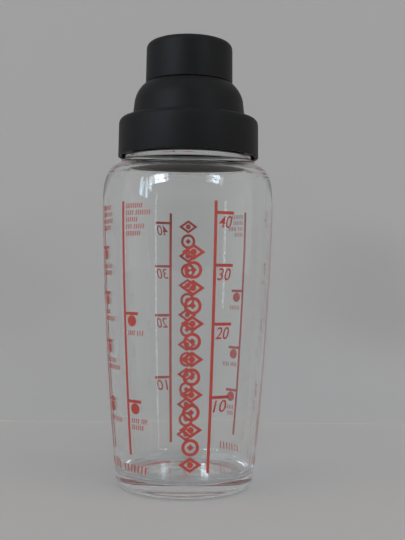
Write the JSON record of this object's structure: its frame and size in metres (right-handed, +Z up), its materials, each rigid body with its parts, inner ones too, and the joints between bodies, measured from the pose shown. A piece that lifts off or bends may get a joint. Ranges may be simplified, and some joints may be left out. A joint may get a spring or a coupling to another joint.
{
  "type": "cocktail shaker",
  "caption": "Tapered clear glass cocktail shaker with a black push-on lid, ribbed plug seal, drop-in strainer and a black cap over the pouring spout.",
  "frame": {"origin": "centre of the foot ring, on the surface the shaker stands on", "axes": "+Z up along the axis of the glass, lid and cap; -Y is the front, with the volume scale to the right of it"},
  "size_m": [0.0774, 0.0774, 0.2004],
  "materials": {
    "clear_glass": "clear, polished",
    "black_plastic": "satin, fine moulded grain",
    "seal_rubber": "matt, soft",
    "liner_plastic": "matt, soft",
    "red_enamel": "fired enamel print"
  },
  "bodies": {
    "glass": {"glass_body": "clear_glass"},
    "seal_ring": {"lid_seal_ring": "seal_rubber"},
    "lid": {"lid": "black_plastic", "strainer_disc": "black_plastic"},
    "liner": {"cap_liner": "liner_plastic"},
    "cap": {"cap": "black_plastic"}
  },
  "joints": [
    {"name": "lid_lift", "type": "slide", "parent": "glass", "child": "seal_ring", "axis": [0, 0, 1], "range_m": [0, 0.08]},
    {"name": "lid_twist", "type": "hinge", "parent": "seal_ring", "child": "lid", "pos_m": [0, 0, 0.159], "axis": [0, 0, 1], "continuous": true},
    {"name": "cap_lift", "type": "slide", "parent": "lid", "child": "liner", "axis": [0, 0, 1], "range_m": [0, 0.05]},
    {"name": "cap_twist", "type": "hinge", "parent": "liner", "child": "cap", "pos_m": [0, 0, 0.1978], "axis": [0, 0, 1], "continuous": true}
  ]
}
